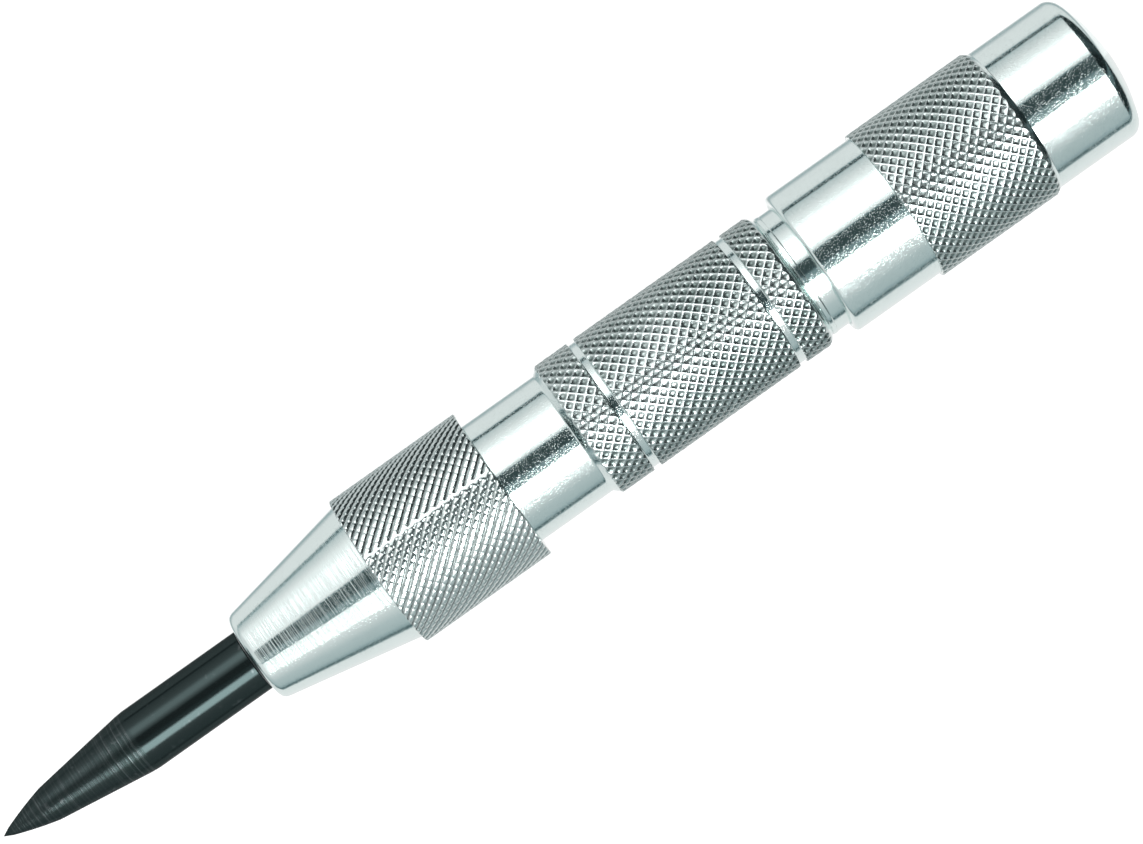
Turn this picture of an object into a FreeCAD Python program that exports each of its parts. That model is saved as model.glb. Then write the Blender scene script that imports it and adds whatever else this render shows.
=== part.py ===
"""Automatic center punch: spring-loaded, with a screw cap that sets the blow.

Every piece is turned about the tool's axis, which is modelled along +X from the point's tip at x = 0.
The finished pieces are then laid on their two knurled collars: +X runs from the tip to the cap, +Z is up,
and the origin is on the bench under the middle of the tool. All sizes are in millimetres.
"""
import FreeCAD, Part
import math
import os

V = FreeCAD.Vector

# ------------------------------------------------------------------ fits
guide_clearance = 0.06        # radial, plunger in the nose and in the barrel's ledge
hammer_clearance = 0.08       # radial, hammer in the barrel
skirt_clearance = 0.12        # radial, cap's skirt over the barrel's neck
spring_clearance = 0.23       # radial, main spring in its bore
slot_clearance = 0.05         # trip block in the hammer's slot, each side
thread_clearance = 0.07       # along the axis, each flank, and over the crests
stem_play = 0.1               # stem's end to the trip block at rest

# ------------------------------------------------------------------ point
shank_radius = 3.8
tip_cone_length = 1.0
tip_cone_half_angle = 27.0
ogive_length = 5.35
ogive_bulge = 0.09            # how far its middle stands off the straight line between its ends
ogive_end_radius = 2.15
taper_half_angle = 7.8
exposed_length = 34.2         # tip to the nose's mouth, at rest
tail_thread_radius = 2.0
tail_thread_pitch = 0.7
tail_length = 8.0

# ------------------------------------------------------------------ nose
nose_cone_length = 17.0
nose_collar_length = 16.95
nose_lip = 1.44               # metal round the mouth
nose_mouth_round = 1.1
nose_guide_length = 22.8      # mouth to the flange's seat
cone_step = 0.68              # collar's rise over the cone
mouth_chamfer = 0.3

# ------------------------------------------------------------------ plunger and its return spring
plunger_radius = 4.0
stroke = 11.0                 # plunger's travel, from rest to the trip
hammer_drop = 9.0             # gap that the hammer falls through when it trips
flange_thickness = 2.5
flange_clearance = 0.18
anvil_radius = 3.0
stem_radius = 1.2
stem_hole_clearance = 0.15
return_wire = 0.6
return_turns = 6.0
return_spare = 0.4            # length left over the coils' solid height at full stroke

# ------------------------------------------------------------------ hammer and trip block
hammer_radius = 5.5
hammer_length = 26.0
hammer_waist_depth = 0.3
hammer_land = 4.0             # rear guide land
front_land = 3.0              # guide land behind the slot
slot_offset = 5.0             # hammer's front face to the slot
block_width = 4.0             # trip block, along the axis and across
block_shift = 1.0             # how far the trip block stands off the axis at rest
slot_floor = 1.0              # metal left under the slot
spigot_clearance = 0.25
spigot_length = 3.5
trip_wire = 0.35
trip_turns = 4.0
trip_spring_radius = 1.15     # outside
trip_pocket_wall = 0.75       # metal between the stem's hole and the spring's pocket

# ------------------------------------------------------------------ barrel
thread_pitch = 1.0
thread_wall = 0.86            # metal between the bore and the threads' roots
barrel_wall = 2.2
grip_rise = 0.82
lower_length = 9.65           # plain barrel between the nose and the grip
grip_length = 30.0
grip_chamfer = 0.9
grip_groove_width = 1.0
grip_groove_depth = 0.32
grip_front_band = 5.1         # grip's front end to the near side of its first groove
grip_rear_band = 3.95         # second groove's far side to the grip's rear end
neck_length = 6.1
neck_ring_width = 0.65
neck_ring_rise = 0.07
rear_thread_length = 13.1
spigot_gap = 1.0              # flange's seat to the barrel's front end
relief_width = 1.5
relief_depth = 0.05
ledge_thickness = 2.5
cam_room = 0.05               # recess over the trip block's path

# ------------------------------------------------------------------ cap, main spring and its seat
cap_gap = 2.4                 # grip to the cap's skirt, at rest
cap_in_travel = 2.0           # how far the cap screws in from rest
cap_stop_gap = 0.3
skirt_wall = 1.16
skirt_length = 11.5
skirt_round = 0.75
collar_rise = 0.44
cap_collar_length = 16.3
cap_collar_chamfer = 0.7
cap_top_length = 9.8
cap_corner_round = 1.55
cap_dome_radius = 21.4
cap_end_wall = 5.9
edge_chamfer = 0.2
main_wire = 1.6
seat_thickness = 2.0
seat_boss_length = 2.5

# ------------------------------------------------------------------ radii that follow
thread_depth = 0.5413 * thread_pitch
thread_chamfer = thread_depth + 0.1
guide_radius = plunger_radius + guide_clearance
bore_radius = hammer_radius + hammer_clearance
thread_root = bore_radius + thread_wall
thread_radius = thread_root + thread_depth
barrel_radius = bore_radius + barrel_wall
neck_ring_radius = barrel_radius + neck_ring_rise
grip_radius = barrel_radius + grip_rise
groove_radius = grip_radius - grip_groove_depth
skirt_bore = barrel_radius + skirt_clearance
skirt_radius = skirt_bore + skirt_wall
collar_radius = skirt_radius + collar_rise
nose_mouth_radius = guide_radius + nose_lip
nose_base_radius = collar_radius - cone_step
thread_relief = thread_radius + 2 * thread_clearance
stem_hole = stem_radius + stem_hole_clearance
flange_radius = bore_radius - flange_clearance
block_reach = hammer_radius + block_shift
recess_radius = bore_radius + block_shift + cam_room
main_outer = bore_radius - spring_clearance
spigot_radius = main_outer - main_wire - spigot_clearance
return_mean = (anvil_radius + bore_radius) / 2

# ------------------------------------------------------------------ places along the axis that follow
nose_front = exposed_length
cone_end = nose_front + nose_cone_length
nose_rear = cone_end + nose_collar_length
point_seat = nose_front       # the point's shoulder seats on the plunger in the nose's mouth
flange_seat = nose_front + nose_guide_length
barrel_front = flange_seat + spigot_gap
return_solid = return_wire * (return_turns + 1)
return_front = flange_seat + flange_thickness
ledge_front = return_front + stroke + return_solid + return_spare
hammer_front = ledge_front + ledge_thickness
shoulder = hammer_front - hammer_drop
slot_front = hammer_front + slot_offset
slot_rear = slot_front + block_width + 2 * slot_clearance
hammer_rear = hammer_front + hammer_length
cam_start = slot_rear - slot_clearance
cam_end = cam_start + stroke
grip_front = nose_rear + lower_length
grip_rear = grip_front + grip_length
neck_end = grip_rear + neck_length
barrel_rear = neck_end + rear_thread_length
skirt_front = grip_rear + cap_gap
counterbore_end = neck_end + cap_in_travel + cap_stop_gap
cap_thread_end = barrel_rear + cap_in_travel + cap_stop_gap
cap_collar_front = skirt_front + skirt_length
cap_collar_rear = cap_collar_front + cap_collar_length
cap_corner = cap_collar_rear + cap_top_length

# The dome meets the corner's round where both have the same tangent.
dome_reach = skirt_radius - cap_corner_round
dome_angle = math.asin(dome_reach / (cap_dome_radius - cap_corner_round))
dome_edge_x = cap_corner + cap_corner_round * math.cos(dome_angle)
dome_edge_r = cap_dome_radius * math.sin(dome_angle)
cap_end = dome_edge_x + cap_dome_radius * (1 - math.cos(dome_angle))
seat_rear = cap_end - cap_end_wall
seat_front = seat_rear - seat_thickness
main_length = seat_front - hammer_rear
main_turns = math.floor((main_length - stroke - cap_in_travel) / main_wire) - 2
overall_length = cap_end


class Outline:
    """Half of a turned piece's section: x along the axis, r from it, drawn edge by edge and then spun."""

    def __init__(self, x, r):
        self.first = self.last = V(x, 0, r)
        self.edges = []

    def line(self, x, r):
        here = V(x, 0, r)
        self.edges.append(Part.makeLine(self.last, here))
        self.last = here
        return self

    def path(self, *points):
        for x, r in points:
            self.line(x, r)
        return self

    def arc(self, via, to):
        via, to = V(via[0], 0, via[1]), V(to[0], 0, to[1])
        self.edges.append(Part.Arc(self.last, via, to).toShape())
        self.last = to
        return self

    def round_about(self, centre, radius, start, end):
        """An arc about centre, from angle start to angle end in degrees; 0 is along +X and 90 is outward."""
        def at(angle):
            turn = math.radians(angle)
            return centre[0] + radius * math.cos(turn), centre[1] + radius * math.sin(turn)
        return self.arc(at((start + end) / 2), at(end))

    def spin(self):
        if (self.last - self.first).Length > 1e-7:
            self.line(self.first.x, self.first.z)
        face = Part.Face(Part.Wire(self.edges))
        return face.revolve(V(0, 0, 0), V(1, 0, 0), 360)


def rod(x0, x1, radius):
    return Part.makeCylinder(radius, x1 - x0, V(x0, 0, 0), V(1, 0, 0))


def along_x(shape):
    """Turns a shape that was built about +Z so that it runs along +X."""
    shape.rotate(V(0, 0, 0), V(0, 1, 0), 90)
    return shape


def sweep_helix(pitch, height, radius, section):
    helix = Part.makeLongHelix(pitch, height, radius, 0)
    return Part.Wire(helix.Edges).makePipeShell([section], True, True)


def helical_groove(x0, x1, pitch, phase, wide, narrow):
    """A thread's groove from x0 to x1. wide and narrow are (radius, width) at its open side and at its root.
    phase is the groove's place within one pitch, so that a male and a female thread half a pitch apart engage."""
    start = pitch * (math.floor(x0 / pitch - phase) + phase)
    height = x1 - start
    corners = [V(wide[0], 0, -wide[1] / 2), V(narrow[0], 0, -narrow[1] / 2),
               V(narrow[0], 0, narrow[1] / 2), V(wide[0], 0, wide[1] / 2)]
    section = Part.makePolygon(corners + corners[:1])
    groove = along_x(sweep_helix(pitch, height, wide[0], section))
    groove.translate(V(start, 0, 0))
    return groove


def male_thread(x0, x1, radius, pitch):
    """The cutter for an outside thread: its crests are pitch/8 wide and its roots pitch/4."""
    over = 0.05 * pitch
    flank = 2 * math.tan(math.radians(30))
    wide = (radius + over, pitch * 7 / 8 + flank * over)
    narrow = (radius - 0.5413 * pitch, pitch / 4)
    return helical_groove(x0, x1, pitch, 0.0, wide, narrow)


def female_bore(radius, pitch):
    """The hole that a female thread is cut in, clear of the male thread's roots."""
    return radius - 0.5413 * pitch + thread_clearance


def female_thread(x0, x1, radius, pitch):
    """The cutter for an inside thread that leaves thread_clearance round the male thread of that radius."""
    over = 0.05 * pitch
    flank = 2 * math.tan(math.radians(30))
    bore = female_bore(radius, pitch)
    narrow = (radius + thread_clearance, pitch / 8 + 2 * thread_clearance - flank * thread_clearance)
    wide_width = narrow[1] + flank * (narrow[0] - bore + over)
    return helical_groove(x0, x1, pitch, 0.5, (bore - over, wide_width), narrow)


def coil_spring(length, turns, mean_radius, wire):
    """A compression spring along +X from x = 0, with both ends ground flat."""
    sunk = wire / 4
    height = length - 2 * sunk
    section = Part.Wire(Part.makeCircle(wire / 2, V(mean_radius, 0, 0), V(0, 1, 0)))
    coil = along_x(sweep_helix(height / turns, height, mean_radius, section))
    coil.translate(V(sunk, 0, 0))
    return coil.common(rod(0, length, mean_radius + wire))


def point():
    """The replaceable point: ground tip, ogive, long taper, plain shank and a threaded tail."""
    tip_radius = tip_cone_length * math.tan(math.radians(tip_cone_half_angle))
    ogive_end = tip_cone_length + ogive_length
    taper = math.tan(math.radians(taper_half_angle))
    shank_start = ogive_end + (shank_radius - ogive_end_radius) / taper
    chord = V(ogive_length, 0, ogive_end_radius - tip_radius)
    normal = V(-chord.z, 0, chord.x).normalize()
    middle = V(tip_cone_length, 0, tip_radius) + chord * 0.5 + normal * ogive_bulge
    tail_end = point_seat + tail_length
    tail_root = tail_thread_radius - 0.5413 * tail_thread_pitch
    relief_end = point_seat + tail_thread_pitch
    body = (Outline(0, 0).line(tip_cone_length, tip_radius)
            .arc((middle.x, middle.z), (ogive_end, ogive_end_radius))
            .path((shank_start, shank_radius), (point_seat - edge_chamfer, shank_radius),
                  (point_seat, shank_radius - edge_chamfer), (point_seat, tail_root - relief_depth),
                  (relief_end, tail_root - relief_depth), (relief_end, tail_thread_radius),
                  (tail_end - 2 * edge_chamfer, tail_thread_radius),
                  (tail_end, tail_thread_radius - 2 * edge_chamfer), (tail_end, 0))
            .spin())
    return body.cut(male_thread(relief_end - tail_thread_pitch / 2, tail_end + tail_thread_pitch,
                                tail_thread_radius, tail_thread_pitch))


def plunger():
    """The sliding plunger: it carries the point in front and ends in the anvil shoulder and the stem."""
    flange_front, flange_rear = flange_seat, return_front
    stem_end = slot_front - stem_play
    hole_end = point_seat + tail_length + 1.5
    hole = female_bore(tail_thread_radius, tail_thread_pitch)
    mouth = tail_thread_radius + 2 * thread_clearance
    mouth_end = point_seat + tail_thread_pitch
    body = (Outline(mouth_end, hole)
            .path((mouth_end, mouth), (point_seat, mouth), (point_seat, plunger_radius - edge_chamfer),
                  (point_seat + edge_chamfer, plunger_radius), (flange_front, plunger_radius),
                  (flange_front, flange_radius - edge_chamfer), (flange_front + edge_chamfer, flange_radius),
                  (flange_rear - edge_chamfer, flange_radius), (flange_rear, flange_radius - edge_chamfer),
                  (flange_rear, anvil_radius), (shoulder - edge_chamfer, anvil_radius),
                  (shoulder, anvil_radius - edge_chamfer), (shoulder, stem_radius),
                  (stem_end - edge_chamfer, stem_radius), (stem_end, stem_radius - edge_chamfer),
                  (stem_end, 0), (hole_end + hole / 2, 0), (hole_end, hole))
            .spin())
    return body.cut(female_thread(mouth_end - tail_thread_pitch / 2, hole_end - tail_thread_pitch,
                                  tail_thread_radius, tail_thread_pitch))


def nose():
    """The conical nose: it guides the plunger, seats its flange and screws on the barrel by its collar."""
    bore = female_bore(thread_radius, thread_pitch)
    seat_relief = flange_seat + relief_width
    mouth = nose_rear - relief_width
    rise = (nose_base_radius - nose_mouth_radius) / nose_cone_length
    slope = math.degrees(math.atan(rise))
    # The round is tangent to the mouth's face and to the cone.
    centre_x = nose_front + nose_mouth_round
    centre_r = (nose_mouth_radius + rise * nose_mouth_round
                - nose_mouth_round / math.cos(math.radians(slope)))
    body = (Outline(nose_front + mouth_chamfer, guide_radius)
            .line(nose_front, guide_radius + mouth_chamfer)
            .line(nose_front, centre_r)
            .round_about((centre_x, centre_r), nose_mouth_round, 180, 90 + slope)
            .path((cone_end, nose_base_radius), (cone_end, collar_radius - edge_chamfer),
                  (cone_end + edge_chamfer, collar_radius), (nose_rear - edge_chamfer, collar_radius),
                  (nose_rear, collar_radius - edge_chamfer), (nose_rear, thread_relief),
                  (mouth, thread_relief), (mouth, bore), (seat_relief, bore), (seat_relief, thread_relief),
                  (flange_seat, thread_relief), (flange_seat, guide_radius))
            .spin())
    return body.cut(female_thread(seat_relief - thread_pitch / 2, mouth + thread_pitch / 2,
                                  thread_radius, thread_pitch))


def barrel_skin():
    """The barrel's outside, from the front spigot's corner to the rear thread's corner, as outline points."""
    relief = thread_root - relief_depth
    first_groove = grip_front + grip_front_band
    second_groove = grip_rear - grip_rear_band - grip_groove_width
    points = [(barrel_front, thread_radius - thread_chamfer), (barrel_front + thread_chamfer, thread_radius),
              (nose_rear - relief_width, thread_radius), (nose_rear - relief_width, relief),
              (nose_rear, relief), (nose_rear, barrel_radius), (grip_front, barrel_radius),
              (grip_front + grip_chamfer, grip_radius)]
    for groove in (first_groove, second_groove):
        points += [(groove, grip_radius), (groove, groove_radius),
                   (groove + grip_groove_width, groove_radius), (groove + grip_groove_width, grip_radius)]
    ring_end = grip_rear + neck_ring_width
    relief_end = neck_end + relief_width
    points += [(grip_rear - grip_chamfer, grip_radius), (grip_rear, neck_ring_radius),
               (ring_end, neck_ring_radius), (ring_end, barrel_radius), (neck_end, barrel_radius),
               (neck_end, relief), (relief_end, relief), (relief_end, thread_radius),
               (barrel_rear - thread_chamfer, thread_radius), (barrel_rear, thread_radius - thread_chamfer)]
    return points


def barrel():
    """The barrel: return spring's chamber, ledge, trip cam and hammer bore inside; grip and two threads outside."""
    ledge_hole = anvil_radius + guide_clearance
    body = (Outline(barrel_front, bore_radius)
            .path(*barrel_skin())
            .path((barrel_rear, bore_radius), (cam_end, bore_radius),
                  (cam_start, bore_radius + block_shift), (cam_start, recess_radius),
                  (hammer_front, recess_radius), (hammer_front, ledge_hole), (ledge_front, ledge_hole),
                  (ledge_front, bore_radius))
            .spin())
    front = male_thread(barrel_front - thread_pitch, nose_rear - relief_width / 2, thread_radius, thread_pitch)
    rear = male_thread(neck_end + relief_width / 2, barrel_rear + thread_pitch, thread_radius, thread_pitch)
    return body.cut(front).cut(rear)


def return_spring():
    """The light spring that pushes the plunger out again."""
    spring = coil_spring(ledge_front - return_front, return_turns, return_mean, return_wire)
    spring.translate(V(return_front, 0, 0))
    return spring


def hammer():
    """The hammer: guide lands, waist, spring spigot, stem holes and the cross slot for the trip block."""
    waist_radius = hammer_radius - hammer_waist_depth
    waist_front = slot_rear + front_land
    waist_rear = hammer_rear - hammer_land
    body = (Outline(hammer_front, 0)
            .path((hammer_front, hammer_radius - 2 * edge_chamfer),
                  (hammer_front + 2 * edge_chamfer, hammer_radius), (waist_front, hammer_radius),
                  (waist_front + hammer_waist_depth, waist_radius),
                  (waist_rear - hammer_waist_depth, waist_radius), (waist_rear, hammer_radius),
                  (hammer_rear - edge_chamfer, hammer_radius), (hammer_rear, hammer_radius - edge_chamfer),
                  (hammer_rear, spigot_radius), (hammer_rear + spigot_length - edge_chamfer, spigot_radius),
                  (hammer_rear + spigot_length, spigot_radius - edge_chamfer),
                  (hammer_rear + spigot_length, 0))
            .spin())
    stem_room_end = slot_rear + hammer_drop + stem_hole
    stem_room = (Outline(hammer_front - 1, 0)
                 .path((hammer_front - 1, stem_hole + edge_chamfer + 1),
                       (hammer_front + edge_chamfer, stem_hole), (stem_room_end, stem_hole),
                       (stem_room_end + stem_hole / 2, 0))
                 .spin())
    width = block_width + 2 * slot_clearance
    slot_bottom = -hammer_radius + slot_floor
    slot = Part.makeBox(slot_rear - slot_front, width, 2 * hammer_radius,
                        V(slot_front, -width / 2, slot_bottom))
    return body.cut(stem_room).cut(slot)


def trip_block_ends():
    """Lowest point of the trip block in line with the stem, and the top of the spring's pocket in it."""
    bottom = -hammer_radius + slot_floor + 2 * slot_clearance
    pocket_top = -stem_hole - trip_pocket_wall
    return bottom, pocket_top


def trip_block():
    """The block that catches the stem: it slides across the hammer and lets the stem through in line with it."""
    bottom, pocket_top = trip_block_ends()
    start = slot_front + slot_clearance
    middle = start + block_width / 2
    bar = Part.makeBox(block_width, block_width, 2 * hammer_radius, V(start, -block_width / 2, bottom))
    body = bar.common(rod(start, start + block_width, hammer_radius))
    stem_way = rod(start - 1, start + block_width + 1, stem_hole)
    lead_in = Part.makeCone(stem_hole + edge_chamfer, stem_hole, edge_chamfer, V(start, 0, 0), V(1, 0, 0))
    pocket = Part.makeCylinder(trip_spring_radius + slot_clearance, pocket_top - bottom + 1,
                               V(middle, 0, bottom - 1), V(0, 0, 1))
    block = body.cut(stem_way).cut(lead_in).cut(pocket)
    block.translate(V(0, 0, block_shift))
    return block


def trip_spring():
    """The small spring under the trip block, from the slot's floor to the top of the block's pocket."""
    pocket_top = trip_block_ends()[1] + block_shift
    floor = -hammer_radius + slot_floor
    mean = trip_spring_radius - trip_wire / 2
    spring = coil_spring(pocket_top - floor, trip_turns, mean, trip_wire)
    spring.rotate(V(0, 0, 0), V(0, 1, 0), -90)
    spring.translate(V(slot_front + slot_clearance + block_width / 2, 0, floor))
    return spring


def main_spring():
    """The heavy spring between the hammer and the seat in the cap."""
    spring = coil_spring(main_length, main_turns, main_outer - main_wire / 2, main_wire)
    spring.translate(V(hammer_rear, 0, 0))
    return spring


def spring_seat():
    """The thrust washer in the cap's end: the cap turns against it, and its boss centres the spring."""
    boss_front = seat_front - seat_boss_length
    return (Outline(boss_front, 0)
            .path((boss_front, spigot_radius - edge_chamfer), (boss_front + edge_chamfer, spigot_radius),
                  (seat_front, spigot_radius), (seat_front, main_outer),
                  (seat_rear - edge_chamfer, main_outer), (seat_rear, main_outer - edge_chamfer),
                  (seat_rear, 0))
            .spin())


def cap():
    """The adjusting cap: skirt over the neck, inside thread, knurled collar and a domed end."""
    bore = female_bore(thread_radius, thread_pitch)
    relief_end = cap_thread_end + relief_width
    dome_centre = (cap_end - cap_dome_radius, 0)
    corner_centre = (cap_corner, skirt_radius - cap_corner_round)
    tilt = math.degrees(dome_angle)
    collar_chamfer_r = skirt_radius
    body = (Outline(skirt_front, skirt_bore)
            .line(skirt_front, skirt_radius - skirt_round)
            .round_about((skirt_front + skirt_round, skirt_radius - skirt_round), skirt_round, 180, 90)
            .path((cap_collar_front, skirt_radius), (cap_collar_front, collar_radius - edge_chamfer),
                  (cap_collar_front + edge_chamfer, collar_radius),
                  (cap_collar_rear - cap_collar_chamfer, collar_radius),
                  (cap_collar_rear, collar_chamfer_r), (cap_corner, skirt_radius))
            .round_about(corner_centre, cap_corner_round, 90, tilt)
            .round_about(dome_centre, cap_dome_radius, tilt, 0)
            .path((seat_rear, 0), (seat_rear, bore_radius), (relief_end, bore_radius),
                  (relief_end, thread_relief), (cap_thread_end, thread_relief), (cap_thread_end, bore),
                  (counterbore_end, bore), (counterbore_end, skirt_bore))
            .spin())
    return body.cut(female_thread(counterbore_end - thread_pitch / 2, cap_thread_end + thread_pitch / 2,
                                  thread_radius, thread_pitch))


def main():
    pieces = {
        "point": point(), "plunger": plunger(), "nose": nose(), "barrel": barrel(),
        "return_spring": return_spring(), "hammer": hammer(), "trip_block": trip_block(),
        "trip_spring": trip_spring(), "main_spring": main_spring(), "spring_seat": spring_seat(),
        "cap": cap(),
    }
    os.makedirs("parts", exist_ok=True)
    for name, shape in pieces.items():
        shape.translate(V(-overall_length / 2, 0, collar_radius))
        solids = shape.Solids
        print(f"{name}: {len(solids)} solid, valid {shape.isValid()}, {shape.Volume:.1f} mm3")
        solid = solids[0] if len(solids) == 1 else Part.makeCompound(solids)
        solid.exportStep(f"parts/{name}.step")
    print(f"overall {overall_length:.2f} x {2 * collar_radius:.2f} mm, main spring {main_turns} turns")


main()
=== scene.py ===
# %% [markdown]
# # An automatic center punch
# The tool marks metal with one hand: its point is pressed on the work, a spring inside is wound up, a small
# block slips, and a hammer drops on the point. From outside it is a handful of turned steel pieces in one
# line, so nearly everything here is a section spun round the tool's axis. What makes it look like the real
# tool is the knurling, which is cut as real relief, and the plating, which shows the light of the studio in
# long straight bands.

# %% Load the frame
import math

import bpy
import numpy as np
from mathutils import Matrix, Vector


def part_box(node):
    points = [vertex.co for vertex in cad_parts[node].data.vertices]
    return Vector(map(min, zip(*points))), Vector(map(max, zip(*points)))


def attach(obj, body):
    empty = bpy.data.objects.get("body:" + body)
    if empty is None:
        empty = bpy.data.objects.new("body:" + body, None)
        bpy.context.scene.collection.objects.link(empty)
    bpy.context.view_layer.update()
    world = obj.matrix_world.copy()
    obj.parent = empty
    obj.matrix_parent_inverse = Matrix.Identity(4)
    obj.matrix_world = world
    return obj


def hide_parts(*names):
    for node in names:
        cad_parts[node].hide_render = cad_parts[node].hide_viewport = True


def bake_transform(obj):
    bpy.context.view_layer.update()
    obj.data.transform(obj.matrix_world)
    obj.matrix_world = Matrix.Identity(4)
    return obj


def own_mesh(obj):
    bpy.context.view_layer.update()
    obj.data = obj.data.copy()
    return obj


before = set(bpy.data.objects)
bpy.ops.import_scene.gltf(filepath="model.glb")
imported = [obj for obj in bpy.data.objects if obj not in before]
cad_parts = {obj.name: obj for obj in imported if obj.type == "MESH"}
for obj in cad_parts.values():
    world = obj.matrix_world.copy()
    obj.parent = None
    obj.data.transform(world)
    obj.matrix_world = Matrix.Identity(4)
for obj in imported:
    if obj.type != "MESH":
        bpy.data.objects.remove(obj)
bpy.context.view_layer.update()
print("pieces from CAD:", sorted(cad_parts))

# %% [markdown]
# The CAD frame is in metres. A lathe drawing is easier to read in millimetres along the axis from the
# point's tip, so the sizes below are in millimetres and one function puts them in the frame. Lengths that
# the CAD already holds are read from its boxes, so the looks follow the frame.

# %% Where the pieces are
MM = 0.001
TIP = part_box("point")[0].x
AXIS_HEIGHT = (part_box("cap")[0].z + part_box("cap")[1].z) / 2


def span(node):
    """First and last place of a node along the axis, and its largest radius, in millimetres."""
    low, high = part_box(node)
    return (low.x - TIP) / MM, (high.x - TIP) / MM, (high.z - low.z) / 2 / MM


_, point_end, shank_radius = span("point")
nose_front, nose_rear, collar_radius = span("nose")
barrel_front, barrel_rear, grip_radius = span("barrel")
cap_front, cap_end, cap_collar_radius = span("cap")
print(f"tool {cap_end:.2f} long, collars {2 * collar_radius:.2f} across, axis {AXIS_HEIGHT / MM:.2f} up")

# %% [markdown]
# ## The camera
# The tool is seen square on from above, with the camera rolled so that the tool runs from the lower left to
# the upper right. A long lens from about an arm's length keeps the turned steps nearly flat, and still shows
# a little of the cap's mouth.

# %% Camera
CAMERA_DISTANCE = 0.43        # metres, and so are the next two
FIELD_WIDTH = 0.12748         # width of what is seen, at the tool's axis
AIM = (0.0030, 0.00114)       # where on the frame's floor the camera is centred
CAMERA_ROLL = math.radians(-35.3)

camera = bpy.data.objects.new("camera", bpy.data.cameras.new("camera"))
camera.data.sensor_width = 36
camera.data.lens = camera.data.sensor_width * CAMERA_DISTANCE / FIELD_WIDTH
camera.data.clip_start, camera.data.clip_end = 0.01, 20
camera.location = (*AIM, AXIS_HEIGHT + CAMERA_DISTANCE)
camera.rotation_euler = (0, 0, CAMERA_ROLL)
scene = bpy.context.scene
scene.collection.objects.link(camera)
scene.camera = camera
scene.view_settings.view_transform = "Standard"
print(f"camera: {camera.data.lens:.0f} mm lens")

# %% [markdown]
# ## Shader maths
# Materials are written as sums: a signal is one socket, and Python's operators on it add the Math nodes.
# Every other node comes from one method, which sets the node up first and then fills its sockets.

# %% Signals and benches
class Signal:
    """One output socket, with operators that add Math nodes to its tree."""

    def __init__(self, bench, socket):
        self.bench, self.socket = bench, socket

    def maths(self, operation, *values):
        """A Math node fed with sockets or numbers."""
        node = self.bench.node("ShaderNodeMath", {"operation": operation}, dict(enumerate(values)))
        return self.bench.out(node, 0)

    def __add__(self, other):
        return self.maths("ADD", self, other)

    def __radd__(self, other):
        return self.maths("ADD", other, self)

    def __sub__(self, other):
        return self.maths("SUBTRACT", self, other)

    def __rsub__(self, other):
        return self.maths("SUBTRACT", other, self)

    def __mul__(self, other):
        return self.maths("MULTIPLY", self, other)

    def __rmul__(self, other):
        return self.maths("MULTIPLY", other, self)

    def __truediv__(self, other):
        return self.maths("DIVIDE", self, other)

    def __rtruediv__(self, other):
        return self.maths("DIVIDE", other, self)

    def angle_to(self, other):
        return self.maths("ARCTAN2", self, other)

    def arcsine(self):
        return self.maths("ARCSINE", self)

    def absolute(self):
        return self.maths("ABSOLUTE", self)

    def step(self, low, high):
        """0 below low, 1 above high, and a smooth turn between them."""
        node = self.bench.node("ShaderNodeMapRange", {"interpolation_type": "SMOOTHSTEP"},
                               {"Value": self, "From Min": low, "From Max": high})
        return self.bench.out(node, "Result")


class Bench:
    """Builds one node tree."""

    def __init__(self, tree):
        self.tree = tree
        tree.nodes.clear()

    def node(self, kind, settings=None, sockets=None):
        """Any node: its settings first, and then its sockets, each fed with a signal or a constant."""
        made = self.tree.nodes.new(kind)
        for name, value in (settings or {}).items():
            if name == "stops":
                self.set_stops(made.color_ramp, value)
            else:
                setattr(made, name, value)
        for name, value in (sockets or {}).items():
            if isinstance(value, Signal):
                self.tree.links.new(value.socket, made.inputs[name])
            else:
                made.inputs[name].default_value = value
        return made

    def out(self, node, name):
        return Signal(self, node.outputs[name])

    def set_stops(self, ramp, stops):
        """A ramp of greys. A stop is (place from 0 to 1, brightness from 0 to 1)."""
        while len(ramp.elements) < len(stops):
            ramp.elements.new(1)
        for element, (place, value) in zip(ramp.elements, stops):
            element.position, element.color = place, (value, value, value, 1)

    def mix(self, share, first, second):
        """A colour between two colours."""
        node = self.node("ShaderNodeMix", {"data_type": "RGBA"}, {0: share, 6: first, 7: second})
        return self.out(node, 2)


print("besides sums, a signal has:", [name for name in vars(Signal) if not name.startswith("_")])

# %% [markdown]
# ## The light
# Polished plating has almost no colour of its own: it shows what is round it. A small studio does that: a
# wide soft panel on one side, a narrower and much brighter one on the other, a dark gap overhead where the
# camera stands, and pale paper below. Each shows on a turned piece as a band along its length, so the light
# is written as one: how bright the room is for each angle round the tool's axis. It could be built from
# lamps and cards, and then each would need its own size and place, and the bands would wander from piece to
# piece.

# %% Bands round the axis
BRIGHTEST = 10.0
DEGREE = math.pi / 180
# Angle from straight up in degrees, positive towards -Y, and how bright the room is there.
BANDS = [
    (-180, 1.05), (-168, 0.88), (-155, 0.40), (-148, 0.48), (-136, 0.80), (-104, 0.84), (-99, 0.78),
    (-96, 0.10), (-91, 0.03), (-89.5, 0.60), (-76, 0.78), (-64, 1.00), (-56, 1.25), (-44, 3.3), (-32, 3.3),
    (-20, 1.2), (-16, 0.8), (-13, 0.05), (6, 0.05), (11, 0.28), (21, 0.27), (27, 10.0), (45, 10.0),
    (51, 0.86), (62, 0.72), (78, 0.56), (97, 0.50), (104, 0.36), (108, 0.08), (112, 0.20), (116, 0.86),
    (180, 0.88),
]

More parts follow.
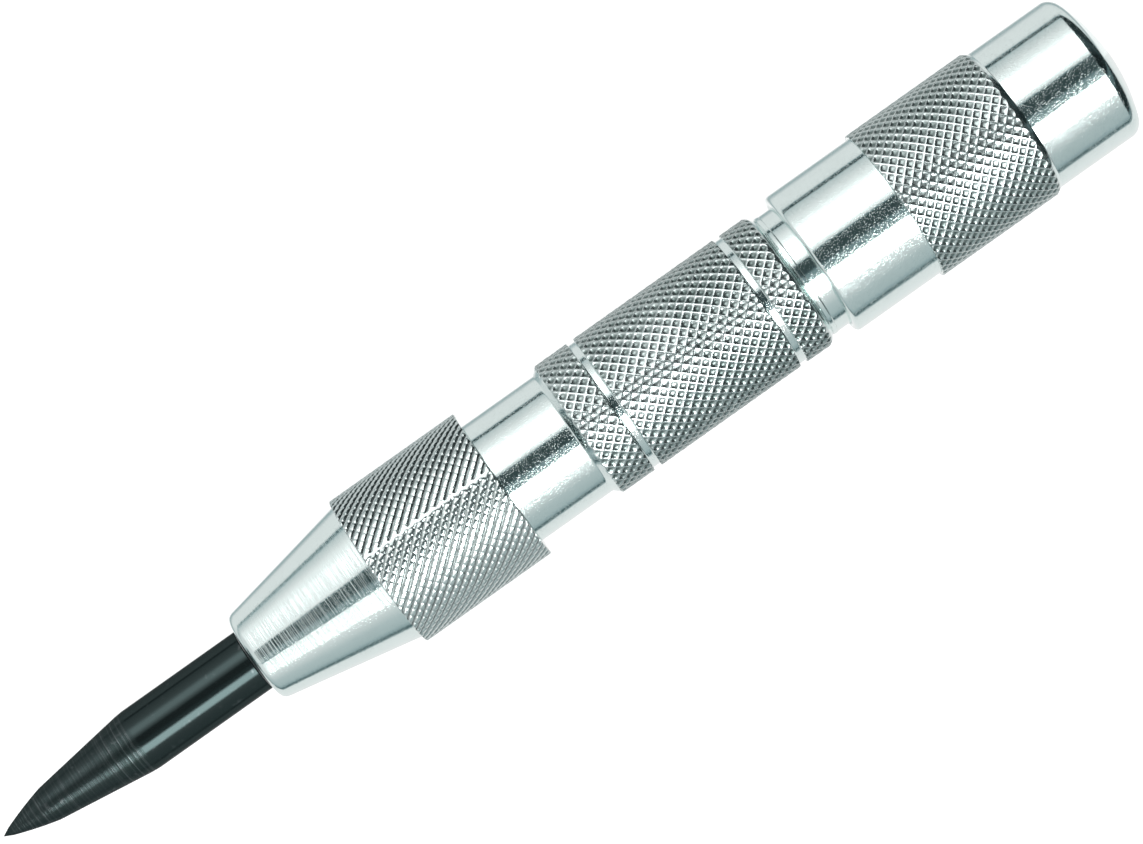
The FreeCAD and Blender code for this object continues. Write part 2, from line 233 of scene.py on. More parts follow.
world = bpy.data.worlds.new("studio")
scene.world = world
world.use_nodes = True
room = Bench(world.node_tree)
towards = room.out(room.node("ShaderNodeTexCoord"), "Generated")
parts = room.node("ShaderNodeSeparateXYZ", None, {0: towards})
ahead, across, up = (room.out(parts, i) for i in range(3))
round_axis = (0 - across).angle_to(up) / (2 * math.pi) + 0.5
bands = room.node("ShaderNodeValToRGB",
                  {"stops": [((angle + 180) / 360, value / BRIGHTEST) for angle, value in BANDS]},
                  {0: round_axis})
print(f"{len(BANDS)} stops round the axis")

# %% [markdown]
# Along the axis the room isn't endless. The dark gap overhead stops a little way past the tip, which lets
# the turning marks on the nose catch the light, and both ends of the room are dark near the floor. A chamfer
# or a fillet that faces along the axis shows those ends as a short dark crescent. Dim parts of the room are
# tinted green-blue, which keeps the shadows on the plate cool.

# %% The room's two ends
ROOM_SHADE = (0.66, 0.97, 1.02, 1)
FAINTEST = 0.02               # no part of the room is darker than this

# tilt is degrees from square on, positive towards the cap, and height is degrees above level. off_tip is
# degrees from the tip's side, as seen from above. The bright panels stop where panels falls to 0.
tilt = ahead.arcsine() / DEGREE
height = up.arcsine() / DEGREE
off_tip = (across.angle_to(0 - ahead) / DEGREE).absolute()
overhead = (round_axis - 0.5).absolute().step(0.060, 0.045)
past_tip = tilt.step(-28.5, -32)
panels = tilt.step(-23, -15)
cap_end_dark = tilt.step(15, 21) * height.step(-14, -6)
tip_end_dark = off_tip.step(24, 14) * height.step(-8, -2) * height.step(26, 12)

level = room.out(bands, 0) * BRIGHTEST
level = level + (1.0 - level) * (overhead * past_tip)
far_wall = 0.75 + 0.22 * tilt.step(-40, -30) + 0.06 * (0 - across).step(0.0, 0.2)
level = level.maths("MINIMUM", level, far_wall + BRIGHTEST * panels)
level = level.maths("MAXIMUM", level, 0.5 * (1 - panels) * across.step(0.2, 0.5))
level = level * (1 - 0.985 * cap_end_dark) * (1 - 0.9 * tip_end_dark) + FAINTEST
tint = room.mix(level.step(0.1, 0.9), ROOM_SHADE, (1, 1, 1, 1))
light = room.node("ShaderNodeBackground", None, {"Color": tint, "Strength": level})
room.node("ShaderNodeOutputWorld", None, {"Surface": room.out(light, 0)})
print(f"{len(room.tree.nodes)} nodes make the room")

# %% [markdown]
# The floor is a plain sheet of white paper. It glows a little by itself, so that it stays white right up to
# the tool, as paper on a light table does. The plating gets its paper from the bands above, so the sheet is
# left out of reflections.

# %% Floor
def new_material(name):
    """A material with an empty node tree, and the bench to fill it on."""
    material = bpy.data.materials.new(name)
    material.use_nodes = True
    return material, Bench(material.node_tree)


def principled(bench, sockets):
    """The one surface shader that every material here ends in."""
    surface = bench.node("ShaderNodeBsdfPrincipled", None, sockets)
    bench.node("ShaderNodeOutputMaterial", None, {"Surface": bench.out(surface, 0)})


FLOOR_HALF = 3.0              # metres, and so is the next
FLOOR_DROP = 0.00002          # the sheet lies this far under the tool
floor_mesh = bpy.data.meshes.new("paper")
corners = [(x * FLOOR_HALF, y * FLOOR_HALF, -FLOOR_DROP) for x, y in ((-1, -1), (1, -1), (1, 1), (-1, 1))]
floor_mesh.from_pydata(corners, [], [(0, 1, 2, 3)])
floor = bpy.data.objects.new("paper", floor_mesh)
scene.collection.objects.link(floor)
floor.visible_glossy = False
paper, bench = new_material("paper")
principled(bench, {"Base Color": (0.30, 0.30, 0.30, 1), "Roughness": 0.9,
                   "Emission Color": (1, 1, 1, 1), "Emission Strength": 0.86})
floor_mesh.materials.append(paper)
print(f"paper {2 * FLOOR_HALF:.0f} m across")

# %% [markdown]
# ## Finishes
# The nose, barrel and cap are nickel plated, the point is blackened, and what is inside is bare ground
# steel. Each finish is noise in the tool's own space, so its marks have real sizes and stay the same on
# every piece.

# %% Helpers for finishes
def place_of(bench, stretch):
    """The place on the tool in metres, stretched along each axis. It is what the noise is drawn on."""
    here = bench.out(bench.node("ShaderNodeTexCoord"), "Object")
    node = bench.node("ShaderNodeVectorMath", {"operation": "MULTIPLY"}, {0: here, 1: stretch})
    return bench.out(node, 0)


def noise(bench, where, detail, roughness=0.5):
    """Soft noise from 0 to 1, with about one cell to each unit of where."""
    node = bench.node("ShaderNodeTexNoise", None,
                      {"Vector": where, "Scale": 1.0, "Detail": detail, "Roughness": roughness})
    return bench.out(node, 0)


def bump(bench, bumpy, depth, normal=None):
    """A normal bent by a signal, over another normal if there is one. depth is in metres."""
    sockets = {"Height": bumpy, "Distance": depth, "Strength": 1.0}
    if normal:
        sockets["Normal"] = normal
    return bench.out(bench.node("ShaderNodeBump", None, sockets), 0)


# %% [markdown]
# The plating is slightly green, and it isn't a perfect mirror: it has a skin of small pimples, fine rings
# left by the lathe, and a slow waviness. All three are bumps. Their noise is set out in cells per metre, so
# 9000 puts pimples a ninth of a millimetre apart, and (2600, 6, 6) draws cells out into rings round the
# tool. The cone keeps its turning marks, and the rest is polished nearly clean of them.

# %% Nickel plate
PLATE = (0.77, 0.86, 0.845, 1)
STAINED_PLATE = (0.62, 0.70, 0.69, 1)
WAVE_DEPTH = 0.02


def plated(name, ring_depth, pimple_depth):
    """Nickel plate over turned steel. Depths are in millimetres, and the waves are what polishing leaves."""
    material, bench = new_material(name)
    pimples = noise(bench, place_of(bench, (9000, 9000, 9000)), 0.0).step(0.60, 0.78)
    rings = noise(bench, place_of(bench, (2600, 6, 6)), 3.0, 0.7)
    waves = noise(bench, place_of(bench, (160, 260, 260)), 1.0)
    normal = bump(bench, waves, WAVE_DEPTH * MM)
    normal = bump(bench, rings, ring_depth * MM, normal)
    normal = bump(bench, pimples, pimple_depth * MM, normal)
    stain = noise(bench, place_of(bench, (420, 420, 420)), 4.0, 0.6)
    colour = bench.mix(stain.step(0.45, 0.75) * 0.12, PLATE, STAINED_PLATE)
    principled(bench, {"Base Color": colour, "Metallic": 1.0, "Roughness": 0.045 + 0.03 * stain,
                       "Normal": normal})
    return material


bright_plate = plated("bright_plate", 0.0004, 0.0058)
turned_plate = plated("turned_plate", 0.022, 0.003)
print("plates:", bright_plate.name, turned_plate.name)

# %% [markdown]
# Plate that lies over knurling is duller. Each corner of the mesh carries how deeply it is cut, and that
# roughens it and darkens its colour. The dark grey in the cuts is painted shade, standing in for the shadow
# and dark reflections down in the pits.

# %% Plate over knurling
WORN_PLATE = (0.63, 0.70, 0.69, 1)


def knurled_plate(name, cut_shade_colour, roughness):
    """Plate over a knurl: WORN_PLATE on the crests and a painted shade of cut_shade_colour in the cuts, a
    little patchy between.
    """
    material, bench = new_material(name)
    cut = bench.out(bench.node("ShaderNodeAttribute", {"attribute_name": "cut"}), 2)
    patches = noise(bench, place_of(bench, (2100, 2100, 2100)), 2.0) - 0.5
    # painted shade: the colour goes from WORN_PLATE towards cut_shade_colour as the cut deepens
    colour = bench.mix((cut + 0.35 * patches).step(0.05, 1.15), WORN_PLATE, (*cut_shade_colour, 1))
    grain = noise(bench, place_of(bench, (4600, 4600, 4600)), 1.0)
    principled(bench, {"Base Color": colour, "Metallic": 1.0, "Roughness": roughness + 0.1 * cut,
                       "Normal": bump(bench, grain, 0.012 * MM)})
    return material


# the second colour of each is the painted shade in its cuts
net_plate = knurled_plate("net_plate", (0.16, 0.21, 0.20), 0.24)
slant_plate = knurled_plate("slant_plate", (0.02, 0.035, 0.035), 0.20)
print("plates over knurling:", net_plate.name, slant_plate.name)

# %% [markdown]
# The point is chemically blackened. That finish is a thin dark oxide with oil in it, and its shine is weak
# and faintly green, even where it is seen at a slant. A varnish would turn pale there, so it is built as
# mostly metal of a very dark colour, whose edge tint is dark too. The lathe's rings are still on its taper.

# %% Black oxide
OXIDE = (0.030, 0.043, 0.043, 1)
WORN_OXIDE = (0.085, 0.100, 0.102, 1)
EDGE_TINT = (0.5, 0.5, 0.5, 1)


def black_oxide(name, ring_depth, rough):
    """Blackened steel. ring_depth is in millimetres, and deep rings are rubbed paler on their crests."""
    material, bench = new_material(name)
    rings = noise(bench, place_of(bench, (3400, 8, 8)), 3.0, 0.7)
    grain = noise(bench, place_of(bench, (5200, 5200, 5200)), 2.0)
    normal = bump(bench, rings, ring_depth * MM)
    normal = bump(bench, grain, 0.0015 * MM, normal)
    rubbed = noise(bench, place_of(bench, (900, 900, 900)), 3.0).step(0.62, 0.80)
    wear = rubbed + rings.step(0.50, 0.68) * min(1, 20 * ring_depth)
    colour = bench.mix(wear, OXIDE, WORN_OXIDE)
    principled(bench, {"Base Color": colour, "Metallic": 0.8, "Specular IOR Level": 0.0,
                       "Specular Tint": EDGE_TINT, "Roughness": rough + 0.06 * rings, "Normal": normal})
    return material


shank_black = black_oxide("shank_black", 0.0006, 0.10)
taper_black = black_oxide("taper_black", 0.060, 0.20)
print("oxides:", shank_black.name, taper_black.name)

# %% [markdown]
# What is inside is never plated. The plunger, the hammer, the trip block and the seat are ground, which
# leaves fine lines round them, and the springs are oiled wire. The four ground pieces are the CAD's own.

# %% Inside steels
def plain_steel(name, colour, roughness, stretch):
    """Bare steel with lines drawn out by stretch, which is in cells per metre."""
    material, bench = new_material(name)
    lines = noise(bench, place_of(bench, stretch), 3.0, 0.6)
    shade = bench.mix(lines.step(0.3, 0.7), (*colour, 1), (*(0.8 * c for c in colour), 1))
    principled(bench, {"Base Color": shade, "Metallic": 1.0, "Roughness": roughness + 0.12 * lines,
                       "Normal": bump(bench, lines, 0.003 * MM)})
    return material


ground_steel = plain_steel("ground_steel", (0.46, 0.46, 0.47), 0.25, (2600, 40, 40))
spring_wire = plain_steel("spring_wire", (0.30, 0.30, 0.31), 0.30, (600, 600, 600))
GROUND_PIECES = ("plunger", "hammer", "trip_block", "spring_seat")
for name in GROUND_PIECES:
    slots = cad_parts[name].data.materials
    slots.clear()
    slots.append(ground_steel)
print(f"{ground_steel.name} on {len(GROUND_PIECES)} pieces from CAD")

# %% [markdown]
# ## Turning
# Blender can spin a curve with a Screw modifier, but the knurling needs the radius to change from place to
# place round the piece. So each piece is a list of rings, written out in numpy: every ring has its place
# along the axis, its radius, and how many corners it has. Plain parts get few corners, knurled ones many,
# and where a fine ring meets a coarse one the faces simply take up the extra corners.

# %% Rings
EDGE = 0.08                   # how far an ordinary corner is broken
SUPPORT = 0.05                # a ring this far past each broken corner keeps the long faces flat
CORNER_RINGS = 6              # rings that round one broken corner


def corner(before, here, after, size):
    """The points that round one corner of a section."""
    before, here, after = (np.array(p, float) for p in (before, here, after))
    back, forward = before - here, after - here
    long_back, long_forward = np.linalg.norm(back), np.linalg.norm(forward)
    size = min(size, 0.75 * long_back, 0.75 * long_forward)
    start, end = here + back / long_back * size, here + forward / long_forward * size
    hold = min(SUPPORT, 0.25 * long_back, 0.25 * long_forward)
    points = [start + back / long_back * hold]
    for t in np.linspace(0, 1, CORNER_RINGS):
        points.append((1 - t) ** 2 * start + 2 * t * (1 - t) * here + t ** 2 * end)
    return points + [end + forward / long_forward * hold]


def section(*points, closed=True):
    """A section with every corner rounded. A point is (x, radius) or (x, radius, corner size)."""
    made = []
    for i, p in enumerate(points):
        if not closed and i in (0, len(points) - 1):
            made.append(np.array(p[:2], float))
            continue
        before, after = points[i - 1], points[(i + 1) % len(points)]
        made += corner(before[:2], p[:2], after[:2], p[2] if len(p) > 2 else EDGE)
    return made


def split(points, longest):
    """The same line with no stretch longer than longest."""
    made = [np.array(points[0], float)]
    for p in points[1:]:
        p = np.array(p, float)
        pieces = max(1, math.ceil(np.linalg.norm(p - made[-1]) / longest))
        start = made[-1]
        made += [start + (p - start) * (i + 1) / pieces for i in range(pieces)]
    return made


class Turned:
    """Collects rings and turns them into one mesh piece. A ring of one corner closes an end."""

    def __init__(self, name):
        self.name, self.places, self.counts, self.finishes, self.cuts = name, [], [], [], []

    def plain(self, points, corners, finish=0):
        """Rings along points, each perfectly round."""
        for x, radius in points:
            self.ring(np.full(corners, x), np.full(corners, radius), np.zeros(corners), finish)

    def cut(self, points, corners, pattern, finish=0):
        """Rings along points, with the knurl pattern cut into them wherever it is lower than they are. A ring
        that the pattern doesn't reach, as in a smooth groove, gets the first finish."""
        turn = np.arange(corners) * 2 * math.pi / corners
        for x, radius in points:
            surface, depth = pattern(x, turn)
            reached = surface < radius
            self.ring(np.full(corners, x), np.minimum(radius, surface), np.where(reached, depth, 0),
                      finish if np.any(reached) else 0)

    def ring(self, x, radius, cut, finish):
        """One ring. x, radius and cut have a value for each corner."""
        turn = np.arange(len(x)) * 2 * math.pi / len(x)
        self.places.append(np.stack([TIP + x * MM, -radius * MM * np.sin(turn),
                                     AXIS_HEIGHT + radius * MM * np.cos(turn)], axis=1))
        self.counts.append(len(x))
        self.finishes.append(finish)
        self.cuts.append(cut)

    def faces(self, closed):
        """Faces between each ring and the next, with the finish of the first of the two."""
        starts = np.concatenate([[0], np.cumsum(self.counts)])
        made, finishes = [], []
        for i in range(len(self.counts) if closed else len(self.counts) - 1):
            j = (i + 1) % len(self.counts)
            n, m = self.counts[i], self.counts[j]
            a, b = int(starts[i]), int(starts[j])
            k = min(n, m)
            for q in range(k):
                first = [a + c % n for c in range(q * n // k, (q + 1) * n // k + 1)]
                second = [b + c % m for c in range(q * m // k, (q + 1) * m // k + 1)]
                if n == 1:
                    first = [a]
                if m == 1:
                    second = [b]
                made.append(first + second[::-1])
            finishes += [self.finishes[i]] * k
        return made, finishes

    def build(self, materials, body, node, closed=True):
        mesh = bpy.data.meshes.new(self.name)
        faces, finishes = self.faces(closed)
        mesh.from_pydata(np.concatenate(self.places).tolist(), [], faces)
        for material in materials:
            mesh.materials.append(material)
        mesh.polygons.foreach_set("material_index", finishes)
        mesh.polygons.foreach_set("use_smooth", [True] * len(faces))
        shade = mesh.attributes.new("cut", "FLOAT", "POINT")
        shade.data.foreach_set("value", np.concatenate(self.cuts).astype(np.float32))
        mesh.update()
        piece = bpy.data.objects.new(self.name, mesh)
        scene.collection.objects.link(piece)
        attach(piece, body)
        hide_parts(node)
        print(f"{self.name}: {len(faces)} faces, {sum(len(f) - 2 for f in faces)} triangles")
        return piece


print(f"corners broken by {EDGE} mm over {CORNER_RINGS} rings")

# %% [markdown]
# ## Knurling
# A knurl is two sets of grooves that wind round the piece in opposite directions. Each set is set out by two
# numbers: how many grooves start round the rim, and how many of them a line along the piece crosses in a
# millimetre. The wheel on the grip and the cap leaves a net of thin ridges with a pit in every diamond. The
# wheel on the nose bites deeply one way and only lightly the other, which leaves long slanting ridges.

# %% Knurl patterns
def sawtooth(phase):
    """1 on each line and 0 half way between two."""
    return np.abs(2 * (phase - np.floor(phase)) - 1)


def furrow(phase, width):
    """How deep one groove is: 1.1 on its line, a few hundredths at its lips, and 0 half way to the next."""
    near = sawtooth(phase)
    return np.clip((near - 1 + width) / width, 0, 1) + 0.10 * near * near


PIT_FLOOR = 0.55              # how far from a line a pit reaches its floor, in half spacings


def net_knurl(radius, depth, crest, falling, rising, reset):
    """A net of ridges round flat pits. falling and rising are (starts, lines per millimetre), and crest is
    how far from a line its ridge stays uncut, in half spacings. Past the place reset the wheel was pressed
    harder. The cuts are also shallow on top and underneath and deep at the two sides, and because their depth
    sets the colour, the pits there carry more painted shade."""
    def pattern(x, turn):
        one = sawtooth(falling[0] * turn / (2 * math.pi) + falling[1] * x)
        two = sawtooth(rising[0] * turn / (2 * math.pi) - rising[1] * x)
        pressed = 1.20 if x > reset else 1.04
        # partly relief and partly painted shade: cos(turn) ** 8 deepens the cuts, and the pits' painted
        # shade, towards the sides
        press_and_side_shade = pressed - 0.48 * np.cos(turn) ** 8 + 0.06 * np.sin(0.41 * x + 3 * turn)
        low = np.clip((1 - np.maximum(one, two) - crest) / (PIT_FLOOR - crest), 0, 1) * press_and_side_shade
        return radius - depth * low, low
    return pattern


SEAM_WIDTH = 0.16             # the grooves come in again over this length beside the seam


def slant_knurl(radius, deep, light, falling, rising, seam):
    """Deep grooves one way and light ones the other. seam is the turn where the wheel was lifted off."""
    def pattern(x, turn):
        main = furrow(falling[0] * turn / (2 * math.pi) + falling[1] * x, 0.37)
        cross = furrow(rising[0] * turn / (2 * math.pi) - rising[1] * x, 0.40)
        # partly relief and partly painted shade: the cos(turn) ** 8 factor deepens the cuts, and their
        # painted shade, towards the sides
        low = np.maximum(main * deep, cross * light) * (1.1 - 0.38 * np.cos(turn) ** 8)
        wander = 0.05 * np.sin(9.1 * x) + 0.04 * np.sin(5.3 * x + 1.0)
        beside = radius * np.abs(np.angle(np.exp(1j * (turn - seam)))) + wander
        low = low * np.clip(beside / SEAM_WIDTH - 0.9, 0, 1)
        return radius - low, low / deep
    return pattern


across_furrow = furrow(np.linspace(0, 0.5, 6), 0.37)
print("a furrow from its line to half way:", across_furrow.round(2).tolist())

# %% [markdown]
# ## The nose
# A cone with a knurled collar behind it. It screws on the barrel and guides the plunger, and it is thick at
# its mouth, where the corner is well rounded.

# %% Nose
NOSE_STARTS = 52
CONE_LENGTH = 17.0
COLLAR_STEP = 0.68            # how far the collar stands out from the cone
SEAM_TURN = -12 * DEGREE      # from straight up, positive towards -Y
female_thread, female_relief = 6.55, 7.1
relief = 1.5                  # length of the plain groove where a thread runs out
nose_corners = NOSE_STARTS * 11
nose_coarse = nose_corners // 4
cone_end = nose_front + CONE_LENGTH
cone_radius = collar_radius - COLLAR_STEP
mouth, mouth_radius, guide_bore = nose_front + 0.2, 5.50, 4.06
guide_end, nose_thread = nose_front + 22.8, nose_front + 24.3
nose = Turned("nose")
nose.plain(section((mouth, guide_bore + 0.3, 0.05), (mouth, mouth_radius, 1.0),
                   (cone_end, cone_radius, 0.05), (cone_end, collar_radius - 0.2, 0.05), closed=False)[1:],
           nose_coarse, finish=1)
knurl = slant_knurl(collar_radius, 0.28, 0.07, (NOSE_STARTS, 0.802), (43, 0.864), SEAM_TURN)
edge = [(cone_end, collar_radius - 0.45), (cone_end, collar_radius - 0.12),
        (cone_end + 0.10, collar_radius), (nose_rear - 0.10, collar_radius),
        (nose_rear, collar_radius - 0.12), (nose_rear, collar_radius - 0.45)]
nose.cut(split(edge, 0.119), nose_corners, knurl, finish=2)
inside = section((nose_rear, collar_radius - 0.6), (nose_rear, 7.2), (nose_rear - relief, female_relief),
                 (nose_rear - relief, female_thread), (nose_thread, female_thread),
                 (nose_thread, female_relief), (guide_end, female_relief), (guide_end, guide_bore),
                 (mouth + 0.3, guide_bore), (mouth, guide_bore + 0.3), closed=False)
nose.plain(inside[1:-1], nose_coarse)
nose.plain([(mouth, guide_bore + 0.3)], nose_coarse, finish=1)
nose.build([bright_plate, turned_plate, slant_plate], "body", "nose")

# %% [markdown]
# ## The barrel
# It is held by its grip: a raised knurled band with two smooth grooves turned into it. Behind the grip is a
# fine bead and a smooth neck that the cap's skirt runs over.

# %% Barrel
GRIP_CORNERS = 384
GROOVE_DEPTH, GROOVE_WIDTH = 0.32, 1.0
HARDER_PRESS = 94.5           # from here back the knurling wheel was pressed harder
barrel_coarse = GRIP_CORNERS // 3
plain_radius, male_thread, bore = 7.78, 6.45, 5.58
grip_front, grip_rear = nose_rear + 9.65, nose_rear + 39.65
neck_end = grip_rear + 6.1
barrel = Turned("barrel")
front = section((barrel_front, bore + 0.2), (barrel_front, 6.0), (barrel_front + 0.45, male_thread),
                (nose_rear - 0.5, male_thread), (nose_rear, male_thread), (nose_rear, plain_radius, 0.05),
                (grip_front - 0.2, plain_radius), closed=False)
barrel.plain(front[1:], barrel_coarse)
groove_one, groove_two = grip_front + 5.1, grip_rear - 4.95
grip_line = [(grip_front, plain_radius), (grip_front + 0.9, grip_radius)]
for groove in (groove_one, groove_two):
    grip_line += [(groove, grip_radius), (groove + 0.08, grip_radius - GROOVE_DEPTH),
                  (groove + 0.92, grip_radius - GROOVE_DEPTH), (groove + GROOVE_WIDTH, grip_radius)]
grip_line += [(grip_rear - 0.9, grip_radius), (grip_rear - 0.45, grip_radius - 0.30),
              (grip_rear - 0.02, 7.80)]
grip_knurl = net_knurl(grip_radius, 0.25, 0.04, (38, 0.712), (40, 0.712), HARDER_PRESS)
barrel.cut(split(grip_line, 0.168), GRIP_CORNERS, grip_knurl, finish=2)
bead_radius, thread_root = plain_radius + 0.07, 6.39
taper_rear, taper_front = 97.65, 86.65         # the taper that centres the trip block
web_rear, web_front, web_hole = 77.6, 75.1, 3.06
back = section((grip_rear, 7.79), (grip_rear + 0.12, 7.72, 0.03), (grip_rear + 0.20, bead_radius, 0.05),
               (grip_rear + 0.62, bead_radius, 0.05), (grip_rear + 0.72, plain_radius, 0.03),
               (neck_end, plain_radius, 0.15), (neck_end, thread_root), (neck_end + relief, thread_root),
               (neck_end + relief + 0.05, male_thread), (barrel_rear - 0.45, male_thread), (barrel_rear, 6.0),
               (barrel_rear, bore), (taper_rear, bore), (taper_front, bore + 1.0), (taper_front, bore + 1.05),
               (web_rear, bore + 1.05), (web_rear, web_hole), (web_front, web_hole), (web_front, bore),
               (barrel_front, bore), closed=False)
barrel.plain(back[1:-1], barrel_coarse, finish=1)
barrel.plain([(barrel_front, bore)], barrel_coarse)
barrel.build([bright_plate, turned_plate, net_plate], "body", "barrel")

# %% [markdown]
# ## The cap
# Turning it sets how hard the tool hits. Its skirt slides over the neck, its collar is knurled more finely
# than the grip, and its closed end is a shallow dome.

# %% Cap
cap_corners = 600
cap_coarse = cap_corners // 4
skirt_radius, skirt_bore = 9.06, 7.90
SKIRT_LENGTH, COLLAR_LENGTH = 11.5, 16.3
END_WALL = 5.9                # steel between the bore and the crown of the dome
cap_collar_front = cap_front + SKIRT_LENGTH
cap_collar_rear = cap_collar_front + COLLAR_LENGTH
cap_corner = cap_end - 3.025  # where the straight side turns into the rounded corner
corner_round, dome_radius = 1.55, 21.4
dome_turn = math.asin((skirt_radius - corner_round) / (dome_radius - corner_round))
cap = Turned("cap")
skirt = section((cap_front + 0.3, skirt_bore), (cap_front, skirt_bore + 0.25, 0.1),
                (cap_front, skirt_radius, 0.75), (cap_collar_front, skirt_radius, 0.03),
                (cap_collar_front, cap_collar_radius - 0.5, 0.03), closed=False)
cap.plain(skirt[1:], cap_coarse)
cap_knurl = net_knurl(cap_collar_radius, 0.19, 0.04, (43, 0.789), (41, 0.757), cap_end)
rim = [(cap_collar_front, cap_collar_radius - 0.4), (cap_collar_front, cap_collar_radius - 0.1),
       (cap_collar_front + 0.1, cap_collar_radius), (cap_collar_rear - 0.7, cap_collar_radius),
       (cap_collar_rear, skirt_radius + 0.02)]
cap.cut(split(rim, 0.127), cap_corners, cap_knurl, finish=1)
end = [(cap_collar_rear + at, skirt_radius) for at in (0.02, 0.08, 0.15)] + [(cap_corner - 0.2, skirt_radius)]
for tilted in np.linspace(90, math.degrees(dome_turn), 14):
    end.append((cap_corner + corner_round * math.cos(tilted * DEGREE),
                skirt_radius - corner_round + corner_round * math.sin(tilted * DEGREE)))
for tilted in np.linspace(dome_turn, 0.02, 16)[1:]:
    end.append((cap_end - dome_radius * (1 - math.cos(tilted)), dome_radius * math.sin(tilted)))
cap.plain(end, cap_coarse)
cap.plain([(cap_end, 0)], 1)
cap.plain([(cap_end - END_WALL, 0)], 1)
thread_start, thread_end, relief_end = cap_front + 6.0, cap_front + 19.1, cap_front + 20.6
inside = section((cap_end - END_WALL, 0.5), (cap_end - END_WALL, bore), (relief_end, bore),
                 (relief_end, 7.12), (thread_end, 7.12), (thread_end, female_thread),
                 (thread_start, female_thread), (thread_start, skirt_bore), (cap_front + 0.3, skirt_bore),
                 closed=False)
cap.plain(inside, cap_coarse)
cap.build([bright_plate, net_plate], "cap", "cap")

# %% [markdown]
# ## The point
# The working end: a ground cone, a short curved part and a long taper, then a plain shank.

# %% Point
point_corners = 96
cone_slope = math.tan(27 * DEGREE)
taper_slope = math.tan(7.8 * DEGREE)
cone_length = 1.0
taper_start, taper_radius = 6.35, 2.15
bulge = 0.09                  # how far the curved part swells past a straight line
tail_radius = 1.62
taper_end = taper_start + (shank_radius - taper_radius) / taper_slope
point = Turned("point")
ogive = []
for t in np.linspace(0, 1, 14):
    chord = cone_slope + (taper_radius - cone_slope) * t
    ogive.append((cone_length + (taper_start - cone_length) * t, chord + bulge * 4 * t * (1 - t)))
point.plain([(0, 0)], 1, finish=1)
point.plain([(x, x * cone_slope) for x in (0.06, 0.4, 0.9)], point_corners, finish=1)
point.plain(ogive, point_corners, finish=1)
point.plain([(taper_start + (taper_end - taper_start) * t, taper_radius + (shank_radius - taper_radius) * t)
             for t in (0.25, 0.5, 0.75, 0.95)], point_corners, finish=1)
point.plain([(taper_end + 0.4, shank_radius)], point_corners, finish=0)
tail = section((taper_end + 1.0, shank_radius), (nose_front, shank_radius, 0.2), (nose_front, tail_radius),
               (point_end, tail_radius), (point_end, 0), closed=False)
point.plain(tail[:-1], point_corners)
point.plain([(point_end, 0)], 1)
point.build([shank_black, taper_black], "plunger", "point", closed=False)

# %% [markdown]
# ## The springs
# A coil is a round wire swept along a helix, and its outer turns are ground flat. The CAD's coils can't get
# shorter, so these stand for them. The return spring rides with the plunger, and the trip block's spring with
# the hammer. The main spring is pressed from both ends, by the hammer and by the cap's seat, so it is made in
# two lengths that meet at a place that stays still.

# %% Springs
STEPS_A_TURN, SIDES = 28, 10


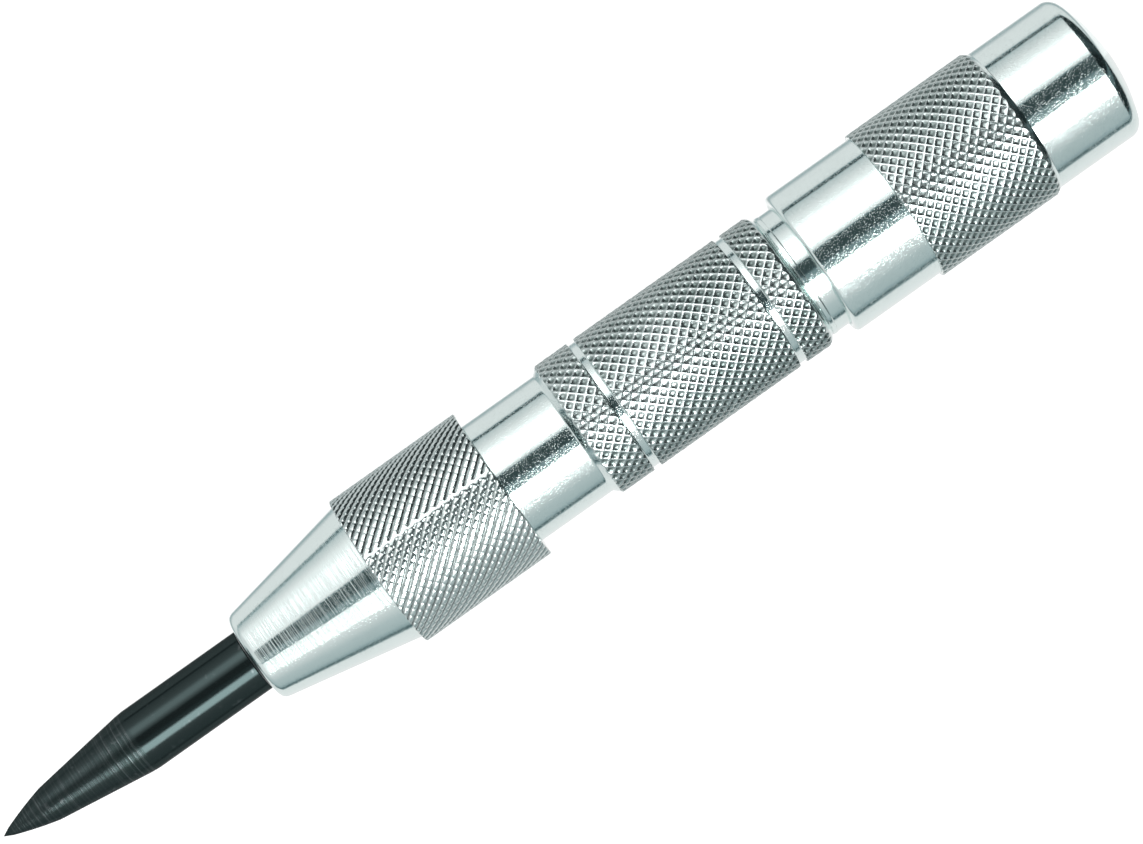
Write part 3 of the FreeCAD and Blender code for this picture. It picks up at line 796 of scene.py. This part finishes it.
def coil(name, node, start, length, turns, mean, wire, ground=(True, True), upright=False):
    """One length of spring from start along +X, or along +Z if upright, in millimetres. mean is the radius of
    the helix. An end that isn't ground keeps the whole round of its wire."""
    steps = turns * STEPS_A_TURN
    first, last = (0 if ground[0] else -wire), length + (0 if ground[1] else wire)
    rings = []
    for i in range(steps + 1):
        turn = 2 * math.pi * turns * i / steps
        for j in range(SIDES):
            side = 2 * math.pi * j / SIDES
            out = mean + wire / 2 * math.cos(side)
            along = min(max(length * i / steps + wire / 2 * math.sin(side), first), last)
            bent = (-out * math.sin(turn), out * math.cos(turn))
            x, y, z = (*bent, along) if upright else (along, *bent)
            rings.append((TIP + (start[0] + x) * MM, (start[1] + y) * MM, AXIS_HEIGHT + (start[2] + z) * MM))
    faces = []
    for i in range(steps):
        here, beyond = i * SIDES, (i + 1) * SIDES
        for j in range(SIDES):
            k = (j + 1) % SIDES
            faces.append((here + j, here + k, beyond + k, beyond + j))
    faces += [tuple(range(SIDES))[::-1], tuple(steps * SIDES + j for j in range(SIDES))]
    mesh = bpy.data.meshes.new(name)
    mesh.from_pydata(rings, [], faces)
    mesh.polygons.foreach_set("use_smooth", [True] * len(faces))
    mesh.materials.append(spring_wire)
    piece = bpy.data.objects.new(name, mesh)
    scene.collection.objects.link(piece)
    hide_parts(node)
    print(f"{name}: {len(faces)} faces")
    return piece


def on_axis(x):
    """A place on the tool's axis, in the frame's metres."""
    return (TIP + x * MM, 0, AXIS_HEIGHT)


back_front, back_rear, _ = span("return_spring")
RETURN_TURNS, RETURN_MEAN, RETURN_WIRE = 6, 4.29, 0.6
return_coil = coil("return_spring", "return_spring", (back_front, 0, 0), back_rear - back_front,
                   RETURN_TURNS, RETURN_MEAN, RETURN_WIRE)
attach(return_coil, "plunger")
on_axis(back_front)
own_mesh(return_coil)

MAIN_TURNS, REAR_TURNS = 14, 3
MAIN_MEAN, MAIN_WIRE = 4.55, 1.6
main_front, main_rear, _ = span("main_spring")
main_pitch = (main_rear - main_front) / MAIN_TURNS
meeting = main_rear - REAR_TURNS * main_pitch
long_coil = coil("main_spring_front", "main_spring", (main_front, 0, 0), meeting - main_front,
                 MAIN_TURNS - REAR_TURNS, MAIN_MEAN, MAIN_WIRE, ground=(True, False))
on_axis(main_front)
on_axis(meeting)
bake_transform(long_coil)
short_coil = coil("main_spring_rear", "main_spring", (meeting, 0, 0), main_rear - meeting,
                  REAR_TURNS, MAIN_MEAN, MAIN_WIRE, ground=(False, True))
on_axis(meeting)
on_axis(main_rear)
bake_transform(short_coil)

low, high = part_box("trip_spring")
trip_middle = ((low.x + high.x) / 2 - TIP) / MM
trip_length = (high.z - low.z) / MM
TRIP_TURNS, TRIP_MEAN, TRIP_WIRE = 4, 0.975, 0.35
trip_coil = coil("trip_spring", "trip_spring", (trip_middle, 0, (low.z - AXIS_HEIGHT) / MM), trip_length,
                 TRIP_TURNS, TRIP_MEAN, TRIP_WIRE, upright=True)
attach(trip_coil, "hammer")
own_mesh(trip_coil)

# %% [markdown] ## The end
